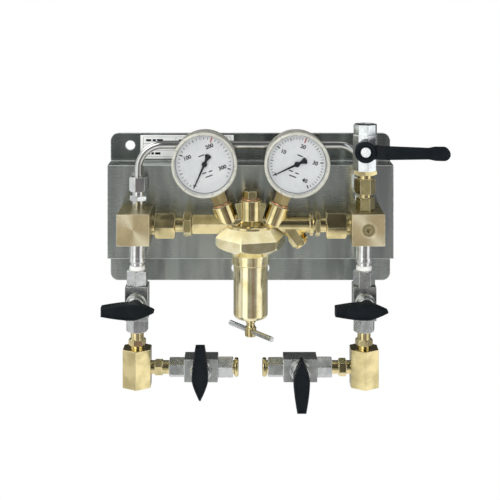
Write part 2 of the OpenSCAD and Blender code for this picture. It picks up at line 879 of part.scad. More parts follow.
module vent_valve_body() {
    below = vent_hub_z - vent_collar[1];
    above = vent_body_top - vent_hub_z;
    color("lightgray")
    at_vent() translate([0, 0, vent_hub_z]) difference() {
        union() {
            translate([0, 0, -below]) rotate([0, 0, 12]) octagon(vent_af, below + above);
            facing_user() cylinder(r = 8, h = vent_af / 2 + 3);
        }
        translate([0, 0, -below - over]) cylinder(r = port_r + gap, h = 8 + over);
        translate([0, 0, -below]) cylinder(r = 3.6, h = below);
        translate([0, 0, -seat_back]) cylinder(r = cavity_r, h = seat_back + above + over);
        facing_user() cylinder(r = stem_r + gap, h = 30);
        facing_user() cylinder(r = 4 + gap, h = 9.5);
    }
}

module vent_end_piece() {
    above = vent_body_top - vent_hub_z;
    color("lightgray")
    at_vent() translate([0, 0, vent_hub_z]) difference() {
        union() {
            translate([0, 0, seat_back + gap]) cylinder(r = cavity_r - gap, h = above - seat_back);
            translate([0, 0, above]) rotate([0, 0, 12]) octagon(21.4, vent_top - vent_body_top);
        }
        cylinder(r = 3.6, h = 40);
        translate([0, 0, above]) cylinder(r = port_r, h = 20);
    }
}

module vent_ball_and_stem() {
    color("gainsboro")
    at_vent() translate([0, 0, vent_hub_z]) facing_user() ball_and_stem(25.2);
}

// Lever with a round hub, cranked outwards to a tapered grip with a thicker end.
module vent_lever() {
    hub = [15.2, 25];
    color("#202020")
    at_vent() translate([0, 0, vent_hub_z]) facing_user() difference() {
        union() {
            translate([0, 0, hub[0]]) turned(10.3, hub[1] - hub[0], 1);
            intersection() {
                translate([0, 0, hub[0]]) linear_extrude(20) {
                    polygon([
                        [0, -8.5], [11, -6.2], [17, -5.4], [20, -6], [lever_l - 20, -4.9], [lever_l - 14, -6.1],
                        [lever_l - 6.2, -6.2], [lever_l - 6.2, 6.2], [lever_l - 14, 6.1], [lever_l - 20, 4.9],
                        [20, 6], [17, 5.4], [11, 6.2], [0, 8.5]
                    ]);
                    translate([lever_l - 6.2, 0]) circle(r = 6.2);
                }
                rotate([90, 0, 0]) linear_extrude(20, center = true) polygon([
                    [0, 17], [12, 17], [20, 21.5], [lever_l, 21.5], [lever_l, 29.5], [18, 29.5], [10, 24], [0, 24]
                ]);
            }
        }
        translate([0, 0, hub[0] - over]) cylinder(r = stem_r + gap, h = 20);
        translate([0, 0, 22.3]) cylinder(r = 6.2, h = 5);
    }
}

module vent_lever_nut() {
    color("silver")
    at_vent() translate([0, 0, vent_hub_z]) facing_user() translate([0, 0, 22.3]) difference() {
        turned(4.7, 3.6, 0.6);
        translate([0, 0, -over]) cylinder(r = stem_r + gap, h = 4);
    }
}

// ---------- risers ----------

module riser_connectors() {
    top = -block_top;
    color("silver")
    both_sides() at_arms(column_x) difference() {
        rotate_extrude() polygon([
            [0, top + port_deep - 0.2], [port_r, top + port_deep - 0.2], [port_r, top],
            [riser_steps[0][1], top], [riser_steps[0][1], riser_steps[0][0]],
            [riser_steps[1][1], riser_steps[0][0] - 0.4], [riser_steps[1][1], riser_steps[1][0] + 0.6],
            [riser_steps[2][1], riser_steps[1][0]], [riser_steps[2][1], riser_steps[2][0]],
            [nipple_r, riser_steps[2][0]], [nipple_r, ring_bottom - 8], [0, ring_bottom - 8]
        ]);
        translate([0, 0, ring_bottom - 10]) cylinder(r = bore_r, h = 60);
    }
}

module sealing_rings() {
    color("white")
    both_sides() at_arms(column_x) translate([0, 0, ring_bottom]) difference() {
        cylinder(r1 = 8, r2 = 7.3, h = riser_steps[2][0] - ring_bottom);
        translate([0, 0, -over]) cylinder(r = nipple_r, h = 10);
    }
}

// ---------- panel ball valves ----------

// Local frame of a valve: z to the user along the stem, y along the flow towards the screwed end piece.
module at_valve(valve, turn) {
    at_arms(valve[0]) translate([0, 0, valve[1]]) facing_user() rotate([0, 0, turn]) children();
}

// Turns local +z to the valve's +y axis, so that bars run along the flow.
module along_flow() {
    rotate([-90, 0, 0]) children();
}

module valve_body(tail_l) {
    difference() {
        union() {
            translate([-valve_sq / 2, -valve_half, -valve_sq / 2]) cube([valve_sq, 2 * valve_half, valve_sq]);
            along_flow() translate([0, 0, -valve_half - tail_l])
                hexagon(tail_l > 14 ? 17 : 19, tail_l, high = false, turn = tail_l > 14 ? 0 : 15);
        }
        along_flow() {
            translate([0, 0, -seat_back]) cylinder(r = cavity_r, h = seat_back + valve_half + over);
            translate([0, 0, -valve_half - tail_l]) cylinder(r = 3.6, h = tail_l + valve_half);
            translate([0, 0, -valve_half - tail_l - over]) cylinder(r = nipple_r + gap, h = 9 + over);
        }
        cylinder(r = stem_r + gap, h = 20);
        cylinder(r = 4 + gap, h = 9.5);
    }
}

module valve_bodies() {
    color("silver")
    for (v = panel_valves) at_valve(v, v[2]) valve_body(v[4]);
}

module valve_end_pieces() {
    seam = 0.3;
    color("darkgray")
    for (v = panel_valves) at_valve(v, v[2]) along_flow() difference() {
        union() {
            translate([0, 0, seat_back + gap]) cylinder(r = cavity_r - gap, h = valve_half + seam - seat_back);
            translate([0, 0, valve_half + seam]) hexagon(19, end_piece_l - seam, low = false, turn = v[5]);
        }
        cylinder(r = 3.6, h = 60);
        translate([0, 0, valve_half + end_piece_l - 8.2]) cylinder(r = nipple_r + gap, h = 20);
    }
}

module gland_nuts() {
    face = valve_sq / 2;
    color("silver") {
        for (v = panel_valves) at_valve(v, v[2]) difference() {
            rotate_extrude() polygon([
                [0, face], [10.5, face], [10.5, face + 1.2], [9.2, face + 2.4], [8.9, gland_top - 1],
                [7.9, gland_top], [0, gland_top]
            ]);
            cylinder(r = stem_r + gap, h = 40);
        }
    }
}

module ball_seat() {
    difference() {
        translate([0, 0, seat_face]) cylinder(r = cavity_r - gap, h = seat_back - seat_face);
        sphere(r = ball_r + gap);
        cylinder(r = 3.6, h = 20);
    }
}

module ball_seats() {
    color("white") {
        for (v = panel_valves) at_valve(v, v[2]) along_flow() {
            ball_seat();
            mirror([0, 0, 1]) ball_seat();
        }
        at_vent() translate([0, 0, vent_hub_z]) {
            ball_seat();
            mirror([0, 0, 1]) ball_seat();
        }
    }
}

// Closed ball with its bore across the flow, and the stem with a tongue in the ball's slot.
module ball_and_stem(stem_top) {
    slot_z = 5.2;
    difference() {
        sphere(r = ball_r);
        along_x() cylinder(r = 3.5, h = 20, center = true);
        translate([-10, -1.5 - gap, slot_z - gap]) cube([20, 3 + 2 * gap, 10]);
    }
    translate([-2.5, -1.5, slot_z]) cube([5, 3, 7.6 - slot_z]);
    translate([0, 0, 7.6]) cylinder(r = 4, h = 1.8);
    translate([0, 0, 9.4]) cylinder(r = stem_r, h = stem_top - 9.4);
}

module valve_ball_and_stem(valve) {
    color("gainsboro")
    at_valve(valve, valve[2]) ball_and_stem(33);
}

module inlet_riser_ball_and_stem() {
    valve_ball_and_stem(inlet_riser);
}

module inlet_branch_ball_and_stem() {
    valve_ball_and_stem(inlet_branch);
}

module outlet_riser_ball_and_stem() {
    valve_ball_and_stem(outlet_riser);
}

module outlet_branch_ball_and_stem() {
    valve_ball_and_stem(outlet_branch);
}

// Wing handle: pointed end along +x, blunt end along -x.
module wing_handle(valve) {
    tip = handle_l * 0.38;
    blunt = handle_l - tip;
    color("#202020")
    at_valve(valve, valve[3]) difference() {
        union() {
            translate([0, 0, handle_base]) cylinder(r = 7.6, h = wing_base - handle_base);
            translate([0, 0, wing_base]) linear_extrude(wing_top - wing_base) {
                circle(r = 7.8);
                polygon([[-blunt, -4.4], [-1.5, -7.7], [2, -7.6], [10, -5.4], [tip, -0.8],
                    [tip, 0.8], [10, 5.4], [2, 7.6], [-1.5, 7.7], [-blunt, 4.4]]);
            }
        }
        translate([0, 0, handle_base - over]) cylinder(r = stem_r + gap, h = 33.2 - handle_base + over);
    }
}

module inlet_riser_handle() {
    wing_handle(inlet_riser);
}

module inlet_branch_handle() {
    wing_handle(inlet_branch);
}

module outlet_riser_handle() {
    wing_handle(outlet_riser);
}

module outlet_branch_handle() {
    wing_handle(outlet_branch);
}

// ---------- tee_blocks and end fittings ----------

module tee_blocks() {
    color("darkkhaki")
    both_sides() at_arms(-column_x) difference() {
        translate([0, 0, tee_bottom]) rotate([0, 0, 30])
            cylinder(d = tee_af / cos(30), h = tee_top - tee_bottom, $fn = 6);
        translate([0, 0, tee_top - 9]) cylinder(r = nipple_r + gap, h = 9 + over);
        translate([0, 0, tee_bottom - over]) cylinder(r = port_r, h = port_deep + over);
        translate([0, 0, tee_bottom]) cylinder(r = bore_r, h = tee_top - tee_bottom);
        translate([0, 0, branch_z]) along_x() cylinder(r = bore_r, h = tee_af / 2);
        translate([tee_af / 2 - 5, 0, branch_z]) along_x() cylinder(r = nipple_r + gap, h = 5 + over);
    }
}

// Nipple from z = 0 to z = length with a hexagon between the two given heights.
module hex_nipple(length, hex_from, hex_to) {
    difference() {
        union() {
            turned(nipple_r, length, 0.8);
            translate([0, 0, hex_from]) hexagon(15, hex_to - hex_from, turn = 12);
        }
        translate([0, 0, -over]) cylinder(r = bore_r, h = length + 2 * over);
    }
}

module tee_nipples() {
    riser_low = tee_top - 8.8;
    riser_high = riser_valve_z - valve_half - inlet_riser[4] + 8.8;
    branch_out = column_x - tee_af / 2 + 4.8;
    branch_in = branch_x + valve_half + inlet_branch[4] - 8.8;
    plain_end = branch_x + valve_half + inlet_branch[4];
    screwed_in = branch_x + valve_half + end_piece_l - 8;
    color("gold") {
        both_sides() at_arms(-column_x) translate([0, 0, riser_low])
            hex_nipple(riser_high - riser_low, 11.5, 17.5);
        at_arms(-branch_out) translate([0, 0, branch_z]) along_x()
            hex_nipple(branch_out - branch_in, branch_out - plain_end - 13.6, branch_out - plain_end - 6.2);
        at_arms(branch_out) translate([0, 0, branch_z]) rotate([0, -90, 0])
            hex_nipple(branch_out - screwed_in, branch_out - plain_end - 13.6, branch_out - plain_end - 6.2);
    }
}

// Brass tube end fitting: thread inside the valve, flange ring and plain bore for an 8 mm tube.
module end_fitting() {
    difference() {
        union() {
            cylinder(r = nipple_r, h = 9.5);
            translate([0, 0, 9.5]) turned(9, 4, 0.9);
        }
        translate([0, 0, -over]) cylinder(r = 4.05, h = 20);
    }
}

module branch_end_fittings() {
    inner_cap = branch_x - valve_half - end_piece_l;
    inner_plain = branch_x - valve_half - outlet_branch[4];
    color("gold") {
        at_arms(-inner_cap - 8.2) translate([0, 0, branch_z]) along_x() end_fitting();
        at_arms(inner_plain + 8.2) translate([0, 0, branch_z]) rotate([0, -90, 0]) end_fitting();
    }
}

// ---------- nodes ----------

back_plate();
data_label();
block_screws();
inlet_block();
outlet_block();
test_port_plug();
union_nipples();
union_nuts();
union_tailpieces();
inlet_filter();
regulator_body();
blanking_plug();
valve_nozzle();
valve_poppet();
closing_spring();
valve_cap();
sealing_washers();
diaphragm();
diaphragm_plate();
range_spring();
spring_button();
bonnet();
adjusting_screw();
t_bar();
gauge_sockets();
gauge_cases();
gauge_movements();
bourdon_tubes();
gauge_dials();
gauge_windows();
gauge_bezels();
inlet_gauge_pointer();
outlet_gauge_pointer();
crossover_tube();
tube_nuts();
tube_connectors();
vent_adaptors();
vent_valve_body();
vent_end_piece();
vent_ball_and_stem();
vent_lever();
vent_lever_nut();
riser_connectors();
sealing_rings();
valve_bodies();
valve_end_pieces();
gland_nuts();
ball_seats();
inlet_riser_ball_and_stem();
inlet_branch_ball_and_stem();
outlet_riser_ball_and_stem();
outlet_branch_ball_and_stem();
inlet_riser_handle();
inlet_branch_handle();
outlet_riser_handle();
outlet_branch_handle();
tee_blocks();
tee_nipples();
branch_end_fittings();
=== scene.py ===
"""Looks of the wall panel gas pressure reducing station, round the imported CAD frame. Lengths are in metres.

The frame keeps every CAD part where it is. This script gives the parts their materials and softened edges,
replaces the handles, pointers and springs with finer shapes, and adds what CAD leaves out: the print on the
dials and on the label.
"""
import json
import math

import bmesh
import bpy
from mathutils import Matrix, Vector

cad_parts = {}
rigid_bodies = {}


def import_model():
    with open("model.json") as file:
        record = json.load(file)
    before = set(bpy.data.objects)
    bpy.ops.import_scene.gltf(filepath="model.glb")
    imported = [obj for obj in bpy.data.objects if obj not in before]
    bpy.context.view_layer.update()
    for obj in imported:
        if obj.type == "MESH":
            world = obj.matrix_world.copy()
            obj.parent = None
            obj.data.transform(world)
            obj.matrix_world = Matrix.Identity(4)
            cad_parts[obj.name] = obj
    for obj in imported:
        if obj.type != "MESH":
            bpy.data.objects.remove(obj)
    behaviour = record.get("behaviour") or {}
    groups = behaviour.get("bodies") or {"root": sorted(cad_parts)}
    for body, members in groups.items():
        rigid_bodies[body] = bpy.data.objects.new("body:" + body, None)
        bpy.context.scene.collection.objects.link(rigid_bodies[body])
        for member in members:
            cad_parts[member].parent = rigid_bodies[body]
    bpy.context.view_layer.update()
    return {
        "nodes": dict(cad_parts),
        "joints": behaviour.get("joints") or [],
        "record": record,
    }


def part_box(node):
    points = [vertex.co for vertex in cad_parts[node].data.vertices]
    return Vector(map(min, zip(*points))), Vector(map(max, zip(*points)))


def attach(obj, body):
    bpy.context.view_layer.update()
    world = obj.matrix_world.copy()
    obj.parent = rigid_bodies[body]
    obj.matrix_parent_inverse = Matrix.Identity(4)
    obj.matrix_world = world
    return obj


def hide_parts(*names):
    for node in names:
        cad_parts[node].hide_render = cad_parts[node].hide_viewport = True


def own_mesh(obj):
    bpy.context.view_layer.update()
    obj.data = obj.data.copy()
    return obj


for leftover in list(bpy.data.objects):
    bpy.data.objects.remove(leftover)
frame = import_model()
NODES = frame["nodes"]
MM = 0.001


def joint(name):
    """A joint of the record."""
    return next(j for j in frame["joints"] if j["name"] == name)


# ---------------------------------------------------------------- node trees

# How far a normal has turned, as 1 minus a cosine, where a painted edge highlight starts to show and where it
# shows fully
EDGE_START = 0.004
EDGE_FULL = 0.08


class Tree:
    """A short way to write the node tree of a material or of the world."""

    SOCKETS = {
        "colour": "Base Color", "metallic": "Metallic", "roughness": "Roughness", "normal": "Normal",
        "anisotropic": "Anisotropic", "tangent": "Tangent", "specular": "Specular IOR Level",
    }

    def __init__(self, name, world=False):
        self.material = (bpy.data.worlds if world else bpy.data.materials).new(name)
        self.material.use_nodes = True
        self.nodes = self.material.node_tree.nodes
        self.links = self.material.node_tree.links
        self.nodes.clear()
        self.output = self.add("ShaderNodeOutputWorld" if world else "ShaderNodeOutputMaterial")

    def add(self, kind, inputs=None, **settings):
        """A new node; inputs maps a socket's name or number to a value or to another node's output."""
        node = self.nodes.new(kind)
        for key, value in settings.items():
            setattr(node, key, value)
        for key, value in (inputs or {}).items():
            if isinstance(value, bpy.types.NodeSocket):
                self.links.new(value, node.inputs[key])
            else:
                node.inputs[key].default_value = value
        return node

    def math(self, operation, a, b=0.0, clamp=False):
        """One step of arithmetic on numbers a and b."""
        return self.add("ShaderNodeMath", {0: a, 1: b}, operation=operation, use_clamp=clamp).outputs[0]

    def vector(self, operation, a, b=(0.0, 0.0, 0.0)):
        """One step of arithmetic on vectors a and b."""
        node = self.add("ShaderNodeVectorMath", {0: a, 1: b}, operation=operation)
        return node.outputs["Value" if operation == "DOT_PRODUCT" else "Vector"]

    def mix(self, factor, a, b):
        """Colour a at factor 0 and b at factor 1."""
        first, second = (c if isinstance(c, bpy.types.NodeSocket) else (*c, 1.0) for c in (a, b))
        return self.add("ShaderNodeMix", {0: factor, 6: first, 7: second}, data_type="RGBA").outputs[2]

    def between(self, value, low, high, to_low=0.0, to_high=1.0, curve="SMOOTHSTEP"):
        """value's range low to high stretched to to_low to to_high, and held there."""
        inputs = {0: value, 1: low, 2: high, 3: to_low, 4: to_high}
        return self.add("ShaderNodeMapRange", inputs, interpolation_type=curve).outputs[0]

    def geometry(self, name):
        """The surface's Normal or Position, or whether it is Backfacing."""
        return self.add("ShaderNodeNewGeometry").outputs[name]

    def parts(self, vector):
        """The x, y and z of a vector."""
        return self.add("ShaderNodeSeparateXYZ", {0: vector}).outputs

    def noise(self, size, stretch=(1.0, 1.0, 1.0), detail=2.0, rough=0.5):
        """Noise whose blobs are about size across, longer along an axis whose stretch is above 1."""
        place = self.add("ShaderNodeTexCoord").outputs["Object"]
        scale = tuple(1.0 / (size * s) for s in stretch)
        spot = self.add("ShaderNodeMapping", {"Vector": place, "Scale": scale}).outputs[0]
        inputs = {"Vector": spot, "Scale": 1.0, "Detail": detail, "Roughness": rough}
        return self.add("ShaderNodeTexNoise", inputs).outputs[0]

    def worn_edges(self, width, shade, metallic, colour, strength, dulling):
        """Edges about this wide take on colour, a painted highlight, and mirror less: gives back the new
        shade and metallic.
        """
        soft = self.add("ShaderNodeBevel", {"Radius": width}, samples=4).outputs[0]
        same = self.vector("DOT_PRODUCT", soft, self.geometry("Normal"))
        edges = self.between(self.math("SUBTRACT", 1.0, same), EDGE_START, EDGE_FULL)
        shade = self.mix(self.math("MULTIPLY", edges, strength), shade, colour)
        return shade, self.math("SUBTRACT", metallic, self.math("MULTIPLY", edges, dulling))

    def bump(self, height, depth, below=None):
        """A normal bumped by up to depth, on top of the normal below if there is one."""
        inputs = {"Height": height, "Distance": depth, "Strength": 1.0}
        if below is not None:
            inputs["Normal"] = below
        return self.add("ShaderNodeBump", inputs).outputs[0]

    def show(self, shader):
        """Joins a shader to the output and gives back the material."""
        self.links.new(shader, self.output.inputs["Surface"])
        return self.material

    def show_mixed(self, factor, first, second):
        """Shows two shaders mixed, the first at factor 0 and the second at factor 1."""
        return self.show(self.add("ShaderNodeMixShader", {0: factor, 1: first, 2: second}).outputs[0])

    def finish(self, **inputs):
        """Shows a principled shader with these inputs; None leaves an input as it is."""
        sockets = {self.SOCKETS[key]: value for key, value in inputs.items() if value is not None}
        return self.show(self.add("ShaderNodeBsdfPrincipled", sockets).outputs[0])


# ---------------------------------------------------------------- materials

# Lighter edge colours for brass and steel: painted edge highlights
BRASS_EDGE_HIGHLIGHT = (1.0, 0.95, 0.72)
STEEL_EDGE_HIGHLIGHT = (0.92, 0.93, 0.92)
WHITE = (1.0, 1.0, 1.0)
UPRIGHT_GRAIN = (1.0, 1.0, 9.0)
GRAIN_SIZE = 0.5 * MM
GRAIN_DEPTH = 0.006 * MM
PIT_SIZE = 0.9 * MM
UPPER_FLANGE = 25 * MM


def metal(name, colour, dull, roughness, cloud=14 * MM, grain=None, edge_highlight=None, pits=0.0, metallic=1.0,
          matt_top=0.0):
    """Bare metal: clouds between colour and dull, fine grain stretched by grain, painted highlights on the
    edges, pits.

    Slopes that look up are less of a mirror by matt_top.
    """
    t = Tree(name)
    cloudy = t.between(t.noise(cloud, detail=3.0), 0.35, 0.68)
    shade = t.mix(cloudy, colour, dull)
    rough = t.between(t.noise(cloud * 0.6, detail=4.0), 0.3, 0.7, roughness * 0.8, roughness * 1.25)
    normal = None
    if grain:
        normal = t.bump(t.noise(GRAIN_SIZE, grain, detail=3.0), GRAIN_DEPTH)
    if pits:
        normal = t.bump(t.noise(PIT_SIZE, detail=4.0, rough=0.65), pits, normal)
    # Painted edge highlight: the edges take a lighter colour and mirror less
    if edge_highlight:
        shade, metallic = t.worn_edges(0.7 * MM, shade, metallic, edge_highlight, strength=0.7, dulling=0.6)
    if matt_top:
        slope = t.vector("DOT_PRODUCT", t.geometry("Normal"), (0.0, 0.0, 1.0))
        metallic = t.math("SUBTRACT", metallic, t.between(slope, 0.45, 0.6, 0.0, matt_top), clamp=True)
    return t.finish(colour=shade, metallic=metallic, roughness=rough, normal=normal)


def plate_steel():
    """Stainless sheet, brushed left to right: fine lines, finger smudges in its gloss, upright streaks of
    painted reflection in its colour, and painted shade on its upper flange.
    """
    t = Tree("plate_steel")
    lines = t.noise(0.25 * MM, (160.0, 1.0, 1.0), detail=3.0, rough=0.7)
    # Upright streaks of lighter and darker grey in the colour: painted reflections
    smears_and_reflection_streaks = t.noise(12 * MM, (1.0, 1.0, 9.0), detail=2.0)
    smudges = t.noise(38 * MM, (1.0, 1.0, 1.4), detail=2.0)
    shade = t.mix(t.between(smears_and_reflection_streaks, 0.35, 0.7), (0.55, 0.59, 0.56), (0.38, 0.41, 0.40))
    shade = t.mix(t.between(lines, 0.3, 0.75, 0.0, 0.12), shade, (0.62, 0.64, 0.62))
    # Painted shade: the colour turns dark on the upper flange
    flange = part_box("back_plate")[1].z - UPPER_FLANGE
    height = t.parts(t.geometry("Position"))[2]
    shade = t.mix(t.between(height, flange - 3 * MM, flange, 0.0, 0.62), shade, (0.08, 0.10, 0.10))
    uneven = t.math("ADD", t.math("MULTIPLY", smudges, 0.6), t.math("MULTIPLY", lines, 0.4))
    rough = t.between(uneven, 0.3, 0.7, 0.2, 0.3)
    # Painted highlight on the sheet's edges and bends: a lighter colour that mirrors less
    shade, metallic = t.worn_edges(1.1 * MM, shade, 0.92, (0.92, 0.96, 0.94), strength=0.8, dulling=0.7)
    upright = t.add("ShaderNodeCombineXYZ", {2: 1.0}).outputs[0]
    return t.finish(colour=shade, metallic=metallic, roughness=rough, normal=t.bump(lines, 0.002 * MM),
                    anisotropic=0.85, tangent=upright)


def block_brass():
    """Milled brass blocks: the faces towards the user and the wall shine in a cone round their middle and
    carry a painted highlight there; the other faces carry a darker colour, a painted dark reflection.
    """
    t = Tree("block_brass")
    low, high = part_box("inlet_block")
    middle = (low + high) / 2
    x, _, z = t.parts(t.geometry("Position"))
    across = t.math("SUBTRACT", t.math("ABSOLUTE", x), abs(middle.x))
    across = t.math("MULTIPLY", across, t.math("SIGN", x))
    up = t.math("SUBTRACT", z, middle.z)
    radial = t.vector("NORMALIZE", t.add("ShaderNodeCombineXYZ", {0: across, 1: 0.0, 2: up}).outputs[0])
    depth_way = t.vector("DOT_PRODUCT", t.geometry("Normal"), (0.0, 1.0, 0.0))
    facing = t.between(t.math("ABSOLUTE", depth_way), 0.8, 0.95)
    cloudy = t.between(t.noise(11 * MM, detail=3.0), 0.35, 0.65)
    # Painted highlight: a lighter fan along a slanting line through the middle of the front and back faces
    slant = t.vector("DOT_PRODUCT", radial, (-0.57, 0.0, 0.82))
    painted_cone_highlight = t.math("POWER", t.math("ABSOLUTE", slant), 7.0)
    front = t.mix(cloudy, (0.66, 0.54, 0.31), (0.58, 0.47, 0.27))
    front = t.mix(t.math("MULTIPLY", painted_cone_highlight, 0.75), front, (1.0, 0.92, 0.66))
    # Faces that look neither to the front nor to the back take a darker colour: painted dark reflection
    shade = t.mix(facing, t.mix(cloudy, (0.42, 0.36, 0.17), (0.34, 0.29, 0.14)), front)
    # Painted highlight on the edges: a lighter colour that mirrors less
    shade, metallic = t.worn_edges(0.6 * MM, shade, 0.78, (1.0, 0.95, 0.74), strength=0.9, dulling=0.6)
    rough = t.between(t.noise(6 * MM, detail=3.0), 0.3, 0.7, 0.27, 0.33)
    drawn = t.math("MULTIPLY", facing, 0.85)
    return t.finish(colour=shade, metallic=metallic, roughness=rough, anisotropic=drawn, tangent=radial)


def plastic(name, colour, roughness, grain_depth=0.02 * MM, grain=0.6 * MM, shade=None, specular=0.5):
    """Moulded plastic, rubber or ink with a fine grain and slightly uneven gloss; shade is a second tone."""
    t = Tree(name)
    fine = t.noise(grain, detail=4.0, rough=0.6)
    large = t.noise(9 * MM, detail=2.0)
    tone = t.mix(t.between(large, 0.35, 0.65), colour, shade or colour)
    rough = t.between(fine, 0.3, 0.7, roughness * 0.85, roughness * 1.15)
    return t.finish(colour=tone, roughness=rough, normal=t.bump(fine, grain_depth), specular=specular)


def glass():
    """A clear window: see-through, with faint smears in its shine."""
    t = Tree("window_clear")
    clear = t.add("ShaderNodeBsdfTransparent", {"Color": (0.985, 0.99, 0.99, 1.0)}).outputs[0]
    smears_and_reflection_streaks = t.between(t.noise(9 * MM, detail=3.0), 0.4, 0.7, 0.02, 0.09)
    shine = t.add("ShaderNodeBsdfGlossy", {"Roughness": smears_and_reflection_streaks, "Color": (*WHITE, 1.0)}).outputs[0]
    fresnel = t.add("ShaderNodeFresnel", {"IOR": 1.45}).outputs[0]
    return t.show_mixed(t.math("MULTIPLY", fresnel, 0.8), clear, shine)


METALS = {
    "brass_polished": dict(colour=(0.86, 0.73, 0.39), dull=(0.60, 0.51, 0.26), roughness=0.14,
                           grain=UPRIGHT_GRAIN, edge_highlight=BRASS_EDGE_HIGHLIGHT),
    # A paler copy of the polished brass that mirrors less on upward slopes, so the bonnet's top chamfer looks
    # lit: a painted highlight
    "bonnet_brass_lit": dict(colour=(0.98, 0.90, 0.60), dull=(0.80, 0.70, 0.38), roughness=0.16,
                         grain=UPRIGHT_GRAIN, edge_highlight=BRASS_EDGE_HIGHLIGHT, matt_top=0.7),
    # brass_dark: brass given a very dark colour, painted shade for parts in shadow such as the gauge sockets
    "brass_dark": dict(colour=(0.34, 0.27, 0.13), dull=(0.24, 0.19, 0.09), roughness=0.3,
                       edge_highlight=(0.6, 0.48, 0.25)),
    "bronze": dict(colour=(0.60, 0.38, 0.20), dull=(0.48, 0.30, 0.16), roughness=0.4),
    "copper": dict(colour=(0.80, 0.42, 0.22), dull=(0.62, 0.32, 0.16), roughness=0.28,
                   edge_highlight=(0.95, 0.62, 0.4)),
    "zinc": dict(colour=(0.70, 0.72, 0.73), dull=(0.58, 0.60, 0.60), roughness=0.22, pits=0.01 * MM,
                 edge_highlight=STEEL_EDGE_HIGHLIGHT),
    "steel_bright": dict(colour=(0.78, 0.79, 0.79), dull=(0.66, 0.67, 0.67), roughness=0.12, cloud=8 * MM,
                         edge_highlight=WHITE),
    "steel_satin": dict(colour=(0.66, 0.68, 0.67), dull=(0.50, 0.52, 0.52), roughness=0.24, cloud=7 * MM,
                        pits=0.02 * MM, edge_highlight=STEEL_EDGE_HIGHLIGHT, metallic=0.95),
    "nickel_bright": dict(colour=(0.84, 0.88, 0.90), dull=(0.70, 0.74, 0.76), roughness=0.15, cloud=6 * MM,
                          pits=0.02 * MM, edge_highlight=WHITE),
    "tube_steel": dict(colour=(0.74, 0.75, 0.74), dull=(0.64, 0.65, 0.64), roughness=0.15, cloud=24 * MM),
    "nut_bright": dict(colour=(0.86, 0.88, 0.89), dull=(0.70, 0.73, 0.74), roughness=0.25, cloud=3 * MM,
                       metallic=0.3),
    "spring_steel": dict(colour=(0.45, 0.45, 0.46), dull=(0.32, 0.32, 0.33), roughness=0.3),
    "case_champagne": dict(colour=(0.64, 0.635, 0.57), dull=(0.56, 0.555, 0.49), roughness=0.3,
                           pits=0.008 * MM, metallic=0.35),
}
PLASTICS = {
    "rubber_grey": dict(colour=(0.03, 0.03, 0.03), roughness=0.75),
    "ptfe": dict(colour=(0.90, 0.90, 0.88), shade=(0.82, 0.82, 0.80), roughness=0.32),
    "label_white": dict(colour=(0.86, 0.87, 0.86), shade=(0.82, 0.83, 0.82), roughness=0.4,
                        grain_depth=0.004 * MM),
    "dial_white": dict(colour=(0.84, 0.85, 0.86), shade=(0.79, 0.80, 0.82), roughness=0.5,
                       grain_depth=0.003 * MM),
    "pointer_black": dict(colour=(0.005, 0.008, 0.012), roughness=0.45, grain_depth=0.004 * MM,
                          specular=0.25),
    "ink_black": dict(colour=(0.006, 0.009, 0.012), roughness=0.6, grain_depth=0.002 * MM, specular=0.2),
    "ink_grey": dict(colour=(0.16, 0.17, 0.18), roughness=0.55, grain_depth=0.002 * MM),
    "ink_red": dict(colour=(0.45, 0.03, 0.03), roughness=0.5, grain_depth=0.002 * MM),
    "handle_black": dict(colour=(0.003, 0.0055, 0.008), shade=(0.005, 0.008, 0.011), roughness=0.4,
                         grain=0.5 * MM, specular=0.22),
}
MATERIALS = {"plate_steel": plate_steel(), "brass_satin": block_brass(), "window_clear": glass()}
MATERIALS.update({name: metal(name, **look) for name, look in METALS.items()})
MATERIALS.update({name: plastic(name, **look) for name, look in PLASTICS.items()})

# ---------------------------------------------------------------- CAD parts

COMMON_BEVEL = 0.35 * MM
WELD_GAP = 0.002 * MM
CAD_EDGE_ANGLE = 28
NORMAL_WEIGHT = 60


def soften(thing, bevel, angle, segments=2):
    """Smooth shading and a bevel on edges sharper than angle, by modifiers that leave the mesh alone."""
    for polygon in thing.data.polygons:
        polygon.use_smooth = True
    if bevel:
        soft = thing.modifiers.new("bevel", "BEVEL")
        soft.width = bevel
        soft.segments = segments
        soft.limit_method = "ANGLE"
        soft.angle_limit = math.radians(angle)
    even = thing.modifiers.new("normals", "WEIGHTED_NORMAL")
    even.weight = NORMAL_WEIGHT


def dress(node, finish, bevel):
    """Gives a CAD node its material and softened edges."""
    thing = NODES[node]
    thing.data.materials.clear()
    thing.data.materials.append(MATERIALS[finish])
    weld = thing.modifiers.new("weld", "WELD")
    weld.merge_threshold = WELD_GAP
    soften(thing, bevel, CAD_EDGE_ANGLE)


SLOTS = {part["node"]: part["material_slot"] for part in frame["record"]["subparts"]}
FINISHES = {
    "vent_valve_body": "nickel_bright", "vent_end_piece": "nickel_bright", "vent_lever_nut": "nut_bright",
    "bonnet": "bonnet_brass_lit", "crossover_tube": "tube_steel",
}
BEVELS = {
    "back_plate": 0.7 * MM, "inlet_block": 0.55 * MM, "outlet_block": 0.55 * MM, "valve_bodies": 0.6 * MM,
    "tee_blocks": 0.5 * MM, "data_label": 0.1 * MM, "gauge_windows": 0.3 * MM, "gauge_dials": 0.05 * MM,
    "regulator_body": 0.5 * MM, "bonnet": 0.5 * MM, "diaphragm": 0.2 * MM, "bourdon_tubes": 0.2 * MM,
    "crossover_tube": 0.0, "range_spring": 0.0, "closing_spring": 0.0,
}
for node_name, slot_name in SLOTS.items():
    dress(node_name, FINISHES.get(node_name, slot_name), BEVELS.get(node_name, COMMON_BEVEL))


# ---------------------------------------------------------------- mesh helpers


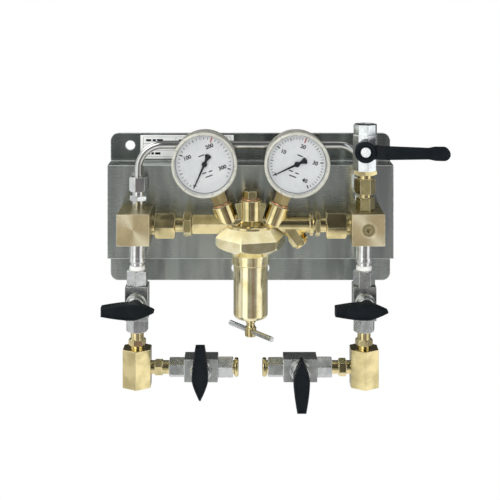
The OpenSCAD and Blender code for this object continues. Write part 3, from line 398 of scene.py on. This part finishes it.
def piece(name, bm, body, slot, materials=None, place=None):
    """Makes an object of a bmesh, puts it in place and lets it ride on a CAD body."""
    mesh = bpy.data.meshes.new(name)
    bmesh.ops.recalc_face_normals(bm, faces=bm.faces)
    if place is not None:
        bm.transform(place)
    bm.to_mesh(mesh)
    bm.free()
    made = bpy.data.objects.new(name, mesh)
    bpy.context.scene.collection.objects.link(made)
    for material in materials or [slot]:
        mesh.materials.append(MATERIALS[material])
    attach(made, body)
    return made


def user_place(x, z, turn=0.0):
    """Local z towards the user and local y up, then turned by turn degrees, at x and z of the frame."""
    upright = Matrix.Rotation(math.radians(90), 4, "X")
    return Matrix.Translation((x, 0.0, z)) @ upright @ Matrix.Rotation(math.radians(turn), 4, "Z")


def circle(radius, depth, count):
    """Points of a circle round the local z axis, counter-clockwise."""
    angles = [2 * math.pi * i / count for i in range(count)]
    return [Vector((radius * math.cos(a), radius * math.sin(a), depth)) for a in angles]


def loft(bm, loops, ring=False, material=0):
    """Skins closed loops of points of the same count, and closes both ends or, for a ring, joins them."""
    rows = [[bm.verts.new(point) for point in loop] for loop in loops]
    count = len(rows[0])
    faces = []
    for low, high in zip(rows, rows[1:] + rows[:1] if ring else rows[1:]):
        for i in range(count):
            j = (i + 1) % count
            faces.append(bm.faces.new((low[i], low[j], high[j], high[i])))
    if not ring:
        faces += [bm.faces.new(rows[0][::-1]), bm.faces.new(rows[-1])]
    for face in faces:
        face.material_index = material


def inset(outline, distance):
    """The closed counter-clockwise outline of 2-D points moved inwards by distance."""
    moved = []
    count = len(outline)
    for i, here in enumerate(outline):
        before, after = outline[i - 1], outline[(i + 1) % count]
        a = (here - before).normalized()
        b = (after - here).normalized()
        normal = Vector((-(a.y + b.y), a.x + b.x)).normalized()
        slant = max(0.5, normal.dot(Vector((-a.y, a.x))))
        moved.append(here + normal * (distance / slant))
    return moved


# ---------------------------------------------------------------- wing handles

WING_TIP = 19 * MM
WING_BLUNT = 31 * MM
WING_HALF_WIDTH = 7.8 * MM
WING_BLUNT_HALF_WIDTH = 4.3 * MM
WING_TIP_HALF_WIDTH = 0.7 * MM
WING_STEPS = 10
SKIRT_BORE = 3.2 * MM
SKIRT_RADIUS = 7.6 * MM


def wing_outline():
    """Lance shape round the stem: blunt end at -x, point at +x, sides slightly bowed. Counter-clockwise."""
    lower = []
    for i in range(WING_STEPS + 1):
        share = i / WING_STEPS
        swell = (WING_HALF_WIDTH - WING_BLUNT_HALF_WIDTH) * math.sin(share * math.pi / 2)
        lower.append(Vector((-WING_BLUNT + share * WING_BLUNT, -(WING_BLUNT_HALF_WIDTH + swell))))
    for i in range(1, WING_STEPS + 1):
        share = i / WING_STEPS
        taper = share ** 1.35
        half_width = WING_HALF_WIDTH * (1 - taper) + WING_TIP_HALF_WIDTH * taper
        lower.append(Vector((share * WING_TIP, -half_width)))
    upper = [Vector((p.x, -p.y)) for p in reversed(lower)]
    return lower + upper


def wing_handle(side, place, turn):
    """Moulded handle: round skirt on the stem, and a lance-shaped wing with a raised rim and a sunk face."""
    valve = f"{side}_{place}"
    node = valve + "_handle"
    low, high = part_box(node)
    x, _, z = joint(valve + "_turn")["pos_m"]
    front, back = -low.y, -high.y
    wing_back = back + 4 * MM
    profile = [
        (1.2 * MM, wing_back), (0.3 * MM, wing_back + 0.4 * MM), (0.0, wing_back + 1.4 * MM),
        (0.0, front - 1.5 * MM), (0.4 * MM, front - 0.4 * MM), (1.1 * MM, front), (1.9 * MM, front),
        (2.3 * MM, front - 0.7 * MM), (2.9 * MM, front - 0.9 * MM),
    ]
    skirt = [
        (SKIRT_RADIUS - 0.6 * MM, back), (SKIRT_RADIUS, back + 0.5 * MM), (SKIRT_RADIUS, wing_back + 1 * MM),
        (SKIRT_BORE, wing_back + 1 * MM), (SKIRT_BORE, back),
    ]
    outline = wing_outline()
    bm = bmesh.new()
    loft(bm, [[Vector((p.x, p.y, depth)) for p in inset(outline, step)] for step, depth in profile])
    loft(bm, [circle(radius, depth, 40) for radius, depth in skirt], ring=True)
    made = piece(node + "_moulding", bm, valve + "_valve", "handle_black", place=user_place(x, z, turn))
    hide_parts(node)
    soften(made, 0.25 * MM, angle=40)


wing_handle("inlet", "riser", 0)
wing_handle("outlet", "riser", 0)
wing_handle("inlet", "branch", -90)
wing_handle("outlet", "branch", 90)


# ---------------------------------------------------------------- print

INK_GAP = 0.01 * MM
INK_DEPTH = 0.06 * MM


def slab(bm, corners, depth, material=0):
    """A thin plate of ink with these corners, which stands on depth."""
    loft(bm, [[(x, y, level) for x, y in corners] for level in (depth, depth + INK_DEPTH)], material=material)


def box_print(bm, x, y, width, height, depth, material=0):
    """A thin upright rectangle with its middle at x and y."""
    corners = [(-1, -1), (1, -1), (1, 1), (-1, 1)]
    slab(bm, [(x + a * width / 2, y + b * height / 2) for a, b in corners], depth, material)


# ---------------------------------------------------------------- gauges

# Angles on a dial are in degrees clockwise from straight up, and radii start at its middle
SCALE_START = -135
SCALE_SWEEP = 270
TICK_END = 25.6 * MM
NUMBER_RADIUS = 17.6 * MM
NUMBER_SIZE = 5.2 * MM
NUMBER_DEPTH = 0.03 * MM
# Radius, length and width of the red mark and of the bar across zero, and how far they stand over the ticks
RED_MARK = (21.5 * MM, 5.2 * MM, 1.1 * MM)
ZERO_BAR = (22.2 * MM, 0.9 * MM, 3.4 * MM)
MARK_RAISE = 0.08 * MM
# Bars that stand for the words on a dial: x, y and width
DIAL_BARS = [
    (-3.2 * MM, -8.0 * MM, 4.2 * MM), (3.0 * MM, -8.4 * MM, 3.6 * MM), (0.0, -12.4 * MM, 7.0 * MM),
    (0.0, 8.6 * MM, 5.6 * MM),
]
DIAL_BAR_HEIGHT = 1.1 * MM
# Radii of a thin grey ring where the bezel meets the dial: a painted shadow line
SHADOW_RING_INNER = 27.7 * MM
SHADOW_RING_OUTER = 28.3 * MM


def gauge_place(side, turn):
    """The frame of a gauge, turned by turn degrees counter-clockwise."""
    x, _, z = joint(side + "_pointer_turn")["pos_m"]
    return user_place(x, z, turn)


def bar(bm, radius, length, width, angle, depth, material=0):
    """A thin radial mark at angle degrees clockwise from straight up."""
    a = math.radians(angle)
    out = Vector((math.sin(a), math.cos(a)))
    across = Vector((math.cos(a), -math.sin(a)))
    ends = [(radius, -1), (radius, 1), (radius + length, 1), (radius + length, -1)]
    slab(bm, [out * r + across * (s * width / 2) for r, s in ends], depth, material)


def numeral(bm, number, x, y, depth):
    """Adds a number as thin raised figures with their middle at x and y."""
    curve = bpy.data.curves.new("numeral", "FONT")
    curve.body = str(number)
    curve.size = NUMBER_SIZE
    curve.align_x = "CENTER"
    curve.align_y = "CENTER"
    curve.extrude = NUMBER_DEPTH
    curve.offset = 0.2 * MM
    curve.resolution_u = 3
    holder = bpy.data.objects.new("numeral", curve)
    bpy.context.scene.collection.objects.link(holder)
    bpy.context.view_layer.update()
    mesh = bpy.data.meshes.new_from_object(holder.evaluated_get(bpy.context.evaluated_depsgraph_get()))
    mesh.transform(Matrix.Translation((x, y, depth + NUMBER_DEPTH)))
    bm.from_mesh(mesh)
    bpy.data.objects.remove(holder)
    bpy.data.curves.remove(curve)
    bpy.data.meshes.remove(mesh)


def tick_size(value, step):
    """Length and width of the tick at value: long at each step, middling half way, short elsewhere."""
    if value % step == 0:
        return 3.2 * MM, 1.1 * MM
    if 2 * value % step == 0:
        return 2.6 * MM, 0.75 * MM
    return 2.0 * MM, 0.5 * MM


def dial_scale(side, turn, full, step, minor, red_at):
    """Print of one dial in its turned frame: ticks, numbers, a red mark, a bar across zero and bars; and a
    grey ring, a painted shadow round the dial's edge.
    """
    black, red, grey = range(3)
    depth = -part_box("gauge_dials")[0].y + INK_GAP
    bm = bmesh.new()
    for i in range(round(full / minor) + 1):
        value = i * minor
        angle = SCALE_START + SCALE_SWEEP * value / full
        length, width = tick_size(value, step)
        bar(bm, TICK_END - length, length, width, angle, depth, black)
        if value and value % step == 0:
            a = math.radians(angle)
            numeral(bm, value, NUMBER_RADIUS * math.sin(a), NUMBER_RADIUS * math.cos(a), depth)
    red_angle = SCALE_START + SCALE_SWEEP * red_at / full
    bar(bm, *RED_MARK, red_angle, depth + MARK_RAISE, red)
    bar(bm, *ZERO_BAR, SCALE_START, depth + MARK_RAISE, black)
    for x, y, width in DIAL_BARS:
        box_print(bm, x, y, width, DIAL_BAR_HEIGHT, depth, black)
    # A painted shadow line round the dial's edge, in grey ink
    ring = [(SHADOW_RING_INNER, 0.0), (SHADOW_RING_INNER, INK_DEPTH), (SHADOW_RING_OUTER, INK_DEPTH), (SHADOW_RING_OUTER, 0.0)]
    loft(bm, [circle(radius, depth + level, 72) for radius, level in ring], ring=True, material=grey)
    inks = ["ink_black", "ink_red", "ink_grey"]
    piece(side + "_dial_scale", bm, "panel", "dial_white", inks, gauge_place(side, -turn))


def pointer(side, turn):
    """Pointer with a needle, a flared tail, a sleeve over the CAD pointer's spindle and a round cap.

    The outline of the needle and the tail is in millimetres; its right half mirrors the left one.
    """
    node = side + "_gauge_pointer"
    low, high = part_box(node)
    front, back = -low.y, -high.y
    left = [
        (0.45, 22.5), (-0.45, 22.5), (-1.0, 2.6), (-1.6, 2.1), (-2.5, 1.2), (-2.7, 0.0), (-2.4, -1.2),
        (-1.5, -2.3), (-1.1, -3.4), (-2.0, -6.2), (-3.4, -8.4), (-2.5, -9.8), (0.0, -10.4),
    ]
    outline = left + [(-x, y) for x, y in reversed(left[2:-1])]
    bm = bmesh.new()
    loft(bm, [[(x * MM, y * MM, depth) for x, y in outline] for depth in (front - 0.6 * MM, front)])
    loft(bm, [circle(1.0 * MM, depth, 24) for depth in (back, front - 0.5 * MM)])
    loft(bm, [circle(1.7 * MM, depth, 24) for depth in (front - 0.1 * MM, front + 0.7 * MM)])
    made = piece(node + "_needle", bm, side + "_pointer", "pointer_black", place=gauge_place(side, turn))
    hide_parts(node)
    soften(made, 0.06 * MM, angle=40, segments=1)


dial_scale("inlet", turn=-21, full=315, step=100, minor=10, red_at=200)
dial_scale("outlet", turn=20, full=40, step=10, minor=1, red_at=20)
pointer("inlet", -204)
pointer("outlet", -245)


# ---------------------------------------------------------------- label

# Ruled lines, and rows and columns of bars, placed by shares of the label's width and height
RULED_ROWS = (-0.42, -0.14, 0.14, 0.42)
RULED_COLUMNS = (-0.47, -0.12, 0.2, 0.47)
BAR_ROWS = (-0.28, 0.0, 0.28)
BAR_COLUMNS = (-0.44, -0.09, 0.23)
RULED_WIDTH = 0.94
RULED_HEIGHT = 0.84
RULED_LINE = 0.35 * MM
BAR_HEIGHTS = (2.3 * MM, 1.7 * MM, 1.7 * MM)
BAR_LENGTHS = (4.2 * MM, 2.6 * MM, 5.4 * MM, 3.4 * MM, 6.0 * MM)
BAR_GAP = 1.2 * MM
BARS_IN_ROW = 3


def label_print():
    """Generic ruled boxes and rows of short bars on the data label."""
    black, grey = range(2)
    low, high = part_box("data_label")
    middle = (low + high) / 2
    width, height = high.x - low.x, high.z - low.z
    depth = -low.y + INK_GAP
    bm = bmesh.new()
    for y in RULED_ROWS:
        box_print(bm, 0.0, y * height, width * RULED_WIDTH, RULED_LINE, depth, grey)
    for x in RULED_COLUMNS:
        box_print(bm, x * width, 0.0, RULED_LINE, height * RULED_HEIGHT, depth, grey)
    for row, y in enumerate(BAR_ROWS):
        for column, x in enumerate(BAR_COLUMNS):
            start = x * width
            for word in range(BARS_IN_ROW):
                length = BAR_LENGTHS[(row + 2 * column + word) % len(BAR_LENGTHS)]
                box_print(bm, start + length / 2, y * height, length, BAR_HEIGHTS[column], depth, black)
                start += length + BAR_GAP
    piece("data_label_print", bm, "panel", "label_white", ["ink_black", "ink_grey"],
          user_place(middle.x, middle.z))


label_print()


# ---------------------------------------------------------------- springs

COIL_STEPS = 40
WIRE_SIDES = 12


def squashed_coil(node, mean_radius, wire_radius, turns):
    """A smooth coil in place of a CAD one, over the CAD coil's full height, fixed to the panel body."""
    low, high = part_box(node)
    middle = (low + high) / 2
    climb = high.z - low.z - 2 * wire_radius
    steps = turns * COIL_STEPS
    bm = bmesh.new()
    loops = []
    for i in range(steps + 1):
        a = 2 * math.pi * i / COIL_STEPS
        centre = Vector((middle.x, middle.y, low.z + wire_radius + climb * (i / steps)))
        out = Vector((math.cos(a), math.sin(a), 0))
        wire = circle(wire_radius, 0.0, WIRE_SIDES)
        loops.append([centre + out * (mean_radius + p.x) + Vector((0, 0, p.y)) for p in wire])
    loft(bm, loops)
    coil = piece(node + "_coil", bm, "panel", "spring_steel")
    for polygon in coil.data.polygons:
        polygon.use_smooth = True
    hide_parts(node)
    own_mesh(coil)


squashed_coil("range_spring", 10.8 * MM, 1.5 * MM, 7)
squashed_coil("closing_spring", 2.7 * MM, 0.4 * MM, 5)


# ---------------------------------------------------------------- room, light and camera

FLOOR_HEIGHT = -0.75
FLOOR_HALF = 40.0

# The studio's brightness by height in degrees: a pale ground, dark at eye level, a little light overhead
GLOW = [
    (-90, 0.95), (-45, 0.9), (-28, 0.6), (-18, 0.32), (-9, 0.15), (0, 0.08), (18, 0.05), (40, 0.07),
    (60, 0.12), (90, 0.35),
]
# Its soft patches: turn from the front towards +X, height, half width, half height and softness of the edge,
# all in degrees, and the colour
PATCHES = [
    (-38.0, 5.0, 12.0, 38.0, 10.0, (1.3, 1.3, 1.26)),
    (-30.0, 34.0, 12.0, 12.0, 8.0, (3.0, 3.0, 2.9)),
    (-119.0, 45.0, 22.0, 14.0, 10.0, (2.6, 2.6, 2.5)),
    (64.0, 74.0, 50.0, 6.0, 8.0, (0.8, 0.8, 0.78)),
    (-1.2, -12.0, 0.8, 14.0, 1.2, (0.50, 0.50, 0.44)),
    (-4.6, -12.0, 0.6, 14.0, 1.5, (0.34, 0.34, 0.33)),
    (3.6, -12.0, 0.7, 14.0, 1.6, (0.32, 0.33, 0.32)),
    (17.0, -14.0, 4.0, 16.0, 4.0, (0.26, 0.19, 0.20)),
    (62.0, 0.0, 14.0, 45.0, 12.0, (1.1, 1.1, 1.1)),
    (-85.0, -5.0, 16.0, 50.0, 14.0, (0.8, 0.8, 0.8)),
]

LIGHT_AIM = Vector((0.0, -0.05, -0.08))
CAMERA_PLACE = (-0.0055, -1.1, 0.1685)
CAMERA_SHIFT = {"shift_x": 0.01, "shift_y": -0.54}
SENSOR_WIDTH = 36.0
FOCAL_LENGTH = 77.54


def floor():
    """Pale floor far below the panel: white to the camera from above, and clear to everything else."""
    t = Tree("floor")
    glow = t.add("ShaderNodeEmission", {"Color": (*WHITE, 1.0), "Strength": 1.0}).outputs[0]
    clear = t.add("ShaderNodeBsdfTransparent").outputs[0]
    seen = t.add("ShaderNodeLightPath").outputs["Is Camera Ray"]
    above = t.math("SUBTRACT", 1.0, t.geometry("Backfacing"))
    bm = bmesh.new()
    bmesh.ops.create_grid(bm, x_segments=4, y_segments=4, size=FLOOR_HALF)
    mesh = bpy.data.meshes.new("floor")
    bm.to_mesh(mesh)
    bm.free()
    mesh.materials.append(t.show_mixed(t.math("MULTIPLY", seen, above), clear, glow))
    ground = bpy.data.objects.new("floor", mesh)
    ground.location = (0.0, 0.0, FLOOR_HEIGHT)
    bpy.context.scene.collection.objects.link(ground)


def set_stops(ramp, stops):
    """Fills a new colour ramp from pairs of height in degrees and brightness, from -90 up to 90."""
    for height, value in stops:
        if height in (-90, 90):
            element = ramp.elements[0 if height < 0 else -1]
        else:
            element = ramp.elements.new((height + 90) / 180)
        element.color = (value, value, value, 1.0)


def studio():
    """The world: white to the camera, and to everything else a dark studio over a pale ground."""
    t = Tree("studio", world=True)
    x, y, z = t.parts(t.add("ShaderNodeTexCoord").outputs["Generated"])
    up = t.math("MULTIPLY", t.math("ARCSINE", z), 180 / math.pi)
    turn = t.math("MULTIPLY", t.math("ARCTAN2", x, t.math("MULTIPLY", y, -1.0)), 180 / math.pi)
    ramp = t.add("ShaderNodeValToRGB", {0: t.between(up, -90.0, 90.0, curve="LINEAR")})
    set_stops(ramp.color_ramp, GLOW)
    glow = ramp.outputs[0]
    for centre, high, half_wide, half_high, soft, colour in PATCHES:
        across = t.math("ABSOLUTE", t.math("SUBTRACT", turn, centre))
        along_up = t.math("ABSOLUTE", t.math("SUBTRACT", up, high))
        inside = t.math("MULTIPLY", t.between(across, half_wide, half_wide + soft, 1.0, 0.0),
                        t.between(along_up, half_high, half_high + soft, 1.0, 0.0))
        glow = t.mix(inside, glow, colour)
    shine = t.add("ShaderNodeBackground", {"Color": glow, "Strength": 1.0}).outputs[0]
    white = t.add("ShaderNodeBackground", {"Color": (*WHITE, 1.0)}).outputs[0]
    seen = t.add("ShaderNodeLightPath").outputs["Is Camera Ray"]
    bpy.context.scene.world = t.show_mixed(seen, shine, white)


def area_light(name, place, size, power):
    """A soft rectangular lamp aimed at the regulator and not seen in reflections."""
    light = bpy.data.lights.new(name, "AREA")
    light.shape = "RECTANGLE"
    light.size, light.size_y = size
    light.energy = power
    lamp = bpy.data.objects.new(name, light)
    lamp.location = place
    lamp.rotation_mode = "QUATERNION"
    lamp.rotation_quaternion = (LIGHT_AIM - Vector(place)).to_track_quat("-Z", "Y")
    lamp.visible_glossy = False
    bpy.context.scene.collection.objects.link(lamp)


def camera():
    """Level view from the front, above the panel, with the picture shifted down to it.

    Drivers drop the shift once the camera stands elsewhere, so that any other view is centred.
    """
    data = bpy.data.cameras.new("camera")
    view = bpy.data.objects.new("camera", data)
    bpy.context.scene.collection.objects.link(view)
    bpy.context.scene.camera = view
    view.location = CAMERA_PLACE
    view.rotation_euler = (math.radians(90), 0.0, 0.0)
    data.sensor_width = SENSOR_WIDTH
    data.lens = FOCAL_LENGTH
    data.clip_start, data.clip_end = 0.05, 200.0
    for channel, shift in CAMERA_SHIFT.items():
        setattr(data, channel, shift)
        driver = data.driver_add(channel).driver
        terms = []
        for letter, value in zip("xyz", CAMERA_PLACE):
            variable = driver.variables.new()
            variable.name = letter
            variable.type = "TRANSFORMS"
            variable.targets[0].id = view
            variable.targets[0].transform_type = "LOC_" + letter.upper()
            terms.append(f"abs({letter} - {value})")
        driver.expression = f"{shift} if {' + '.join(terms)} < 0.001 else 0.0"


floor()
studio()
area_light("fill_front", (0.2, -2.0, 0.4), size=(1.6, 1.6), power=22)
area_light("top", (-0.3, -0.8, 1.5), size=(1.4, 0.9), power=8)
camera()
bpy.context.scene.view_settings.view_transform = "Standard"
bpy.context.scene.view_settings.look = "None"
